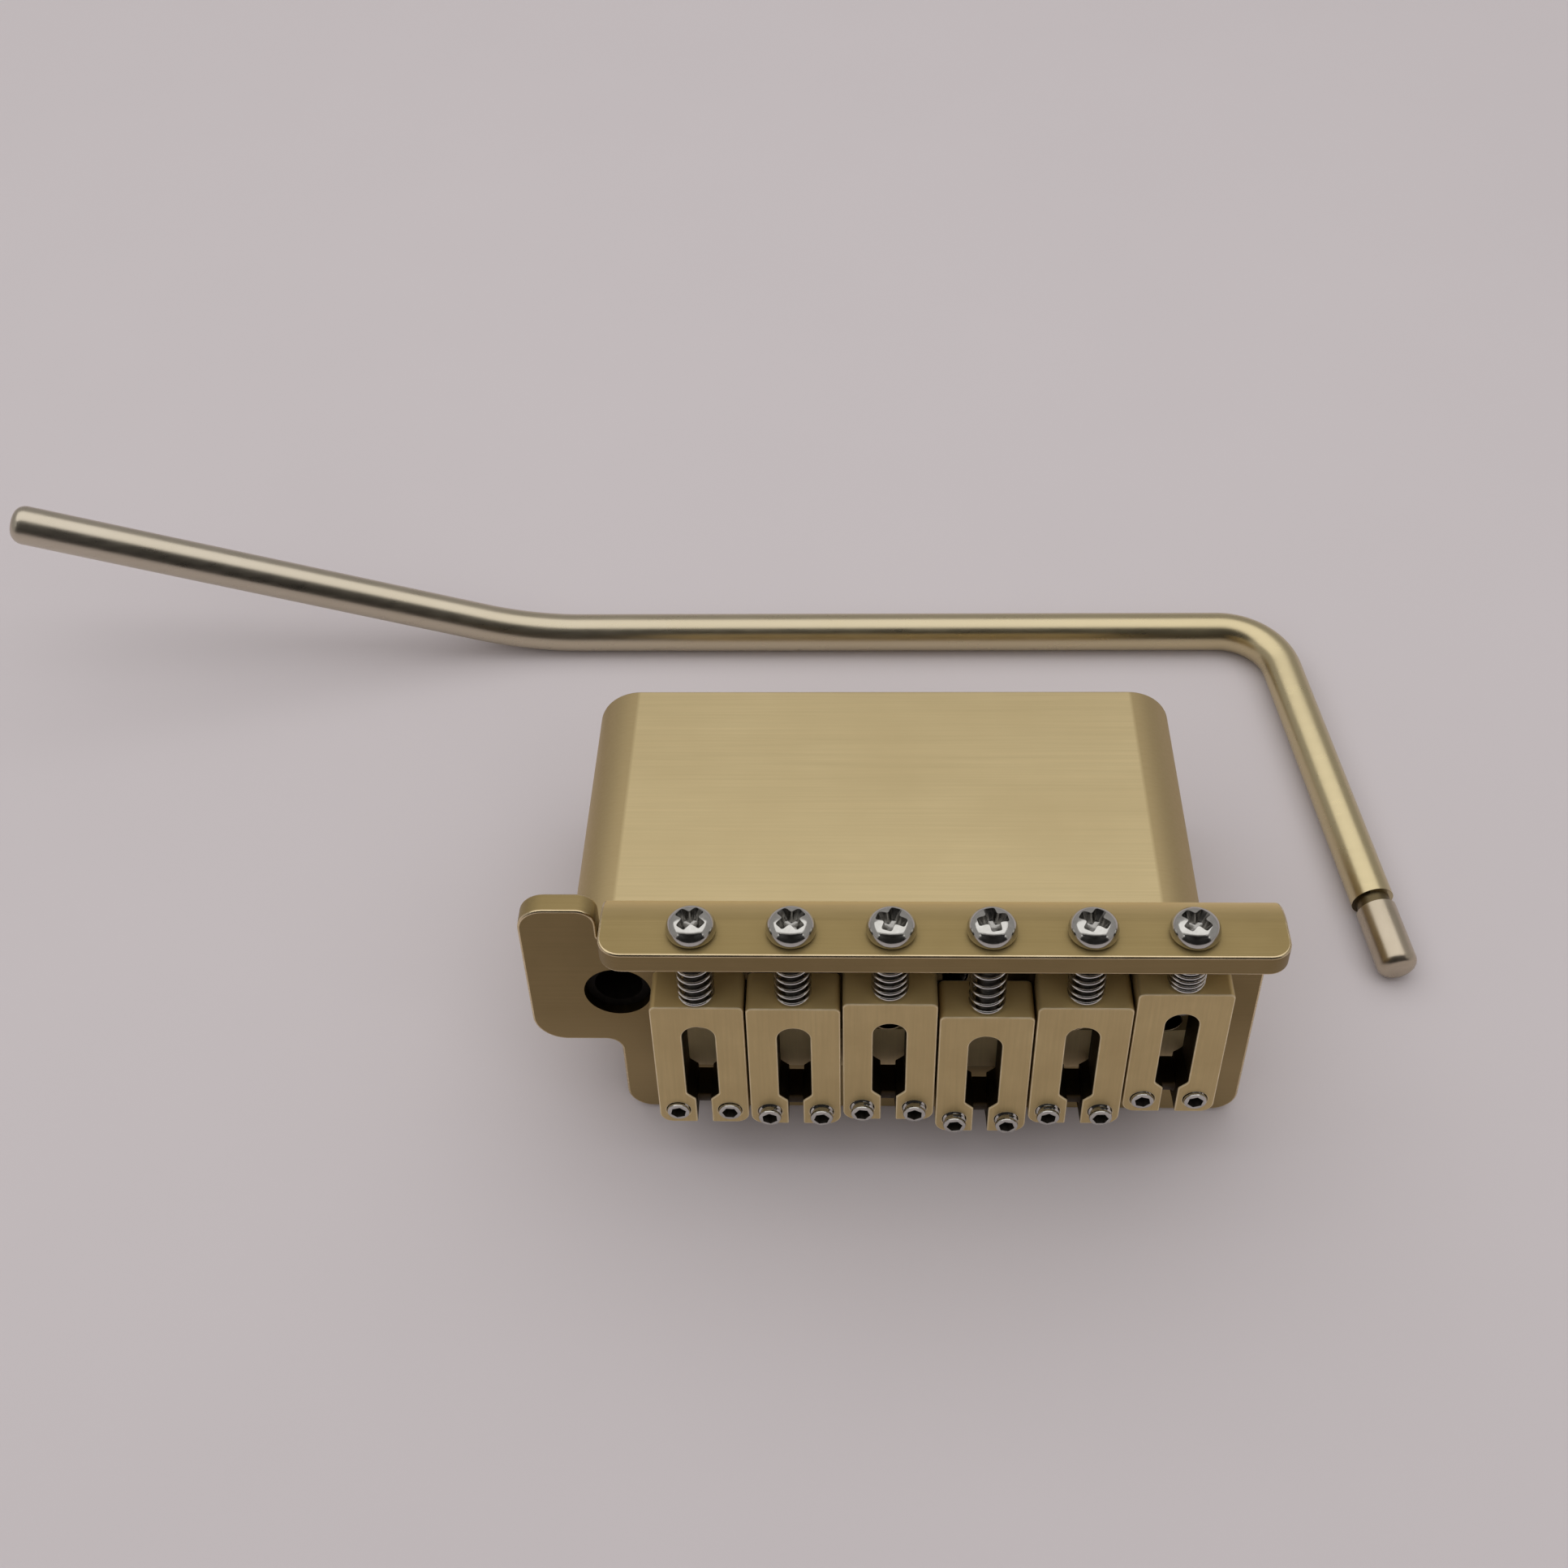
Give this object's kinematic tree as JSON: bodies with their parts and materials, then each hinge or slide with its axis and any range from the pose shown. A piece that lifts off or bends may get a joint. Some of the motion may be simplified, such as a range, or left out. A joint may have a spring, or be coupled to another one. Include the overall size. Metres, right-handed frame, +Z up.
{
  "type": "guitar tremolo bridge",
  "caption": "Knife-edge guitar tremolo bridge lying on its side: bent base plate, sustain block, screw-adjusted string saddles with springs, and its bent arm laid beside it.",
  "frame": {"origin": "middle of the base plate's lower front edge, the pivot line, where the bridge stands on the table", "axes": "+X along the pivot line away from the arm side, +Y away from the saddles towards the block, +Z up"},
  "size_m": [0.1849, 0.0853, 0.0402],
  "materials": {
    "satin_brass": "satin brushed",
    "saddle_brass": "satin",
    "nickel_screw": "polished",
    "spring_steel": "bright",
    "black_nylon": "matte",
    "arm_nickel": "polished"
  },
  "bodies": {
    "bridge": {"base_plate": "satin_brass", "sustain_block": "satin_brass", "block_screws": "nickel_screw", "arm_clip": "spring_steel", "intonation_spring_1": "spring_steel", "intonation_spring_2": "spring_steel", "intonation_spring_3": "spring_steel", "intonation_spring_4": "spring_steel", "intonation_spring_5": "spring_steel", "intonation_spring_6": "spring_steel"},
    "saddle_1": {"saddle_1": "saddle_brass"},
    "intonation_screw_1": {"intonation_screw_1": "nickel_screw"},
    "height_screw_1_left": {"height_screw_1_left": "nickel_screw"},
    "height_screw_1_right": {"height_screw_1_right": "nickel_screw"},
    "saddle_2": {"saddle_2": "saddle_brass"},
    "intonation_screw_2": {"intonation_screw_2": "nickel_screw"},
    "height_screw_2_left": {"height_screw_2_left": "nickel_screw"},
    "height_screw_2_right": {"height_screw_2_right": "nickel_screw"},
    "saddle_3": {"saddle_3": "saddle_brass"},
    "intonation_screw_3": {"intonation_screw_3": "nickel_screw"},
    "height_screw_3_left": {"height_screw_3_left": "nickel_screw"},
    "height_screw_3_right": {"height_screw_3_right": "nickel_screw"},
    "saddle_4": {"saddle_4": "saddle_brass"},
    "intonation_screw_4": {"intonation_screw_4": "nickel_screw"},
    "height_screw_4_left": {"height_screw_4_left": "nickel_screw"},
    "height_screw_4_right": {"height_screw_4_right": "nickel_screw"},
    "saddle_5": {"saddle_5": "saddle_brass"},
    "intonation_screw_5": {"intonation_screw_5": "nickel_screw"},
    "height_screw_5_left": {"height_screw_5_left": "nickel_screw"},
    "height_screw_5_right": {"height_screw_5_right": "nickel_screw"},
    "saddle_6": {"saddle_6": "saddle_brass"},
    "intonation_screw_6": {"intonation_screw_6": "nickel_screw"},
    "height_screw_6_left": {"height_screw_6_left": "nickel_screw"},
    "height_screw_6_right": {"height_screw_6_right": "nickel_screw"},
    "arm_bush": {"arm_bush": "black_nylon"},
    "tremolo_arm": {"tremolo_arm": "arm_nickel"}
  },
  "joints": [
    {"name": "screw_1_turn", "type": "hinge", "parent": "bridge", "child": "intonation_screw_1", "pos_m": [-0.02625, -0.00282, 0.03809], "axis": [0, -0.1366, -0.9906], "range_deg": [-1010, 3350]},
    {"name": "saddle_1_slide", "type": "slide", "parent": "bridge", "child": "saddle_1", "axis": [0, 0.1366, 0.9906], "range_m": [-0.00126, 0.00419], "deforming": ["intonation_spring_1"]},
    {"name": "height_screw_1_left_raise", "type": "slide", "parent": "saddle_1", "child": "height_screw_1_left", "axis": [0, -0.9906, 0.1366], "range_m": [0, 0.0015]},
    {"name": "height_screw_1_right_raise", "type": "slide", "parent": "saddle_1", "child": "height_screw_1_right", "axis": [0, -0.9906, 0.1366], "range_m": [0, 0.0015]},
    {"name": "screw_2_turn", "type": "hinge", "parent": "bridge", "child": "intonation_screw_2", "pos_m": [-0.01575, -0.00282, 0.03809], "axis": [0, -0.1366, -0.9906], "range_deg": [-1154, 3206]},
    {"name": "saddle_2_slide", "type": "slide", "parent": "bridge", "child": "saddle_2", "axis": [0, 0.1366, 0.9906], "range_m": [-0.00144, 0.004], "deforming": ["intonation_spring_2"]},
    {"name": "height_screw_2_left_raise", "type": "slide", "parent": "saddle_2", "child": "height_screw_2_left", "axis": [0, -0.9906, 0.1366], "range_m": [0, 0.0015]},
    {"name": "height_screw_2_right_raise", "type": "slide", "parent": "saddle_2", "child": "height_screw_2_right", "axis": [0, -0.9906, 0.1366], "range_m": [0, 0.0015]},
    {"name": "screw_3_turn", "type": "hinge", "parent": "bridge", "child": "intonation_screw_3", "pos_m": [-0.00525, -0.00282, 0.03809], "axis": [0, -0.1366, -0.9906], "range_deg": [-1874, 2486]},
    {"name": "saddle_3_slide", "type": "slide", "parent": "bridge", "child": "saddle_3", "axis": [0, 0.1366, 0.9906], "range_m": [-0.00234, 0.00311], "deforming": ["intonation_spring_3"]},
    {"name": "height_screw_3_left_raise", "type": "slide", "parent": "saddle_3", "child": "height_screw_3_left", "axis": [0, -0.9906, 0.1366], "range_m": [0, 0.0015]},
    {"name": "height_screw_3_right_raise", "type": "slide", "parent": "saddle_3", "child": "height_screw_3_right", "axis": [0, -0.9906, 0.1366], "range_m": [0, 0.0015]},
    {"name": "screw_4_turn", "type": "hinge", "parent": "bridge", "child": "intonation_screw_4", "pos_m": [0.00525, -0.00282, 0.03809], "axis": [0, -0.1366, -0.9906], "range_deg": [-218, 4178]},
    {"name": "saddle_4_slide", "type": "slide", "parent": "bridge", "child": "saddle_4", "axis": [0, 0.1366, 0.9906], "range_m": [-0.00027, 0.00522], "deforming": ["intonation_spring_4"]},
    {"name": "height_screw_4_left_raise", "type": "slide", "parent": "saddle_4", "child": "height_screw_4_left", "axis": [0, -0.9906, 0.1366], "range_m": [0, 0.0015]},
    {"name": "height_screw_4_right_raise", "type": "slide", "parent": "saddle_4", "child": "height_screw_4_right", "axis": [0, -0.9906, 0.1366], "range_m": [0, 0.0015]},
    {"name": "screw_5_turn", "type": "hinge", "parent": "bridge", "child": "intonation_screw_5", "pos_m": [0.01575, -0.00282, 0.03809], "axis": [0, -0.1366, -0.9906], "range_deg": [-1478, 2882]},
    {"name": "saddle_5_slide", "type": "slide", "parent": "bridge", "child": "saddle_5", "axis": [0, 0.1366, 0.9906], "range_m": [-0.00185, 0.0036], "deforming": ["intonation_spring_5"]},
    {"name": "height_screw_5_left_raise", "type": "slide", "parent": "saddle_5", "child": "height_screw_5_left", "axis": [0, -0.9906, 0.1366], "range_m": [0, 0.0015]},
    {"name": "height_screw_5_right_raise", "type": "slide", "parent": "saddle_5", "child": "height_screw_5_right", "axis": [0, -0.9906, 0.1366], "range_m": [0, 0.0015]},
    {"name": "screw_6_turn", "type": "hinge", "parent": "bridge", "child": "intonation_screw_6", "pos_m": [0.02625, -0.00282, 0.03809], "axis": [0, -0.1366, -0.9906], "range_deg": [-3098, 1298]},
    {"name": "saddle_6_slide", "type": "slide", "parent": "bridge", "child": "saddle_6", "axis": [0, 0.1366, 0.9906], "range_m": [-0.00387, 0.00162], "deforming": ["intonation_spring_6"]},
    {"name": "height_screw_6_left_raise", "type": "slide", "parent": "saddle_6", "child": "height_screw_6_left", "axis": [0, -0.9906, 0.1366], "range_m": [0, 0.0015]},
    {"name": "height_screw_6_right_raise", "type": "slide", "parent": "saddle_6", "child": "height_screw_6_right", "axis": [0, -0.9906, 0.1366], "range_m": [0, 0.0015]},
    {"name": "arm_swivel", "type": "hinge", "parent": "bridge", "child": "arm_bush", "pos_m": [-0.0358, 0.00823, 0.02016], "axis": [0, -0.9906, 0.1366], "continuous": true},
    {"name": "arm_lift", "type": "slide", "parent": "bridge", "child": "tremolo_arm", "axis": [0, 0, 1], "range_m": [0, 0.12]}
  ],
  "couplings": [
    {"joint": "screw_1_turn", "follows": "saddle_1_slide", "rad_per_m": 13963},
    {"joint": "screw_2_turn", "follows": "saddle_2_slide", "rad_per_m": 13963},
    {"joint": "screw_3_turn", "follows": "saddle_3_slide", "rad_per_m": 13963},
    {"joint": "screw_4_turn", "follows": "saddle_4_slide", "rad_per_m": 13963},
    {"joint": "screw_5_turn", "follows": "saddle_5_slide", "rad_per_m": 13963},
    {"joint": "screw_6_turn", "follows": "saddle_6_slide", "rad_per_m": 13963}
  ]
}
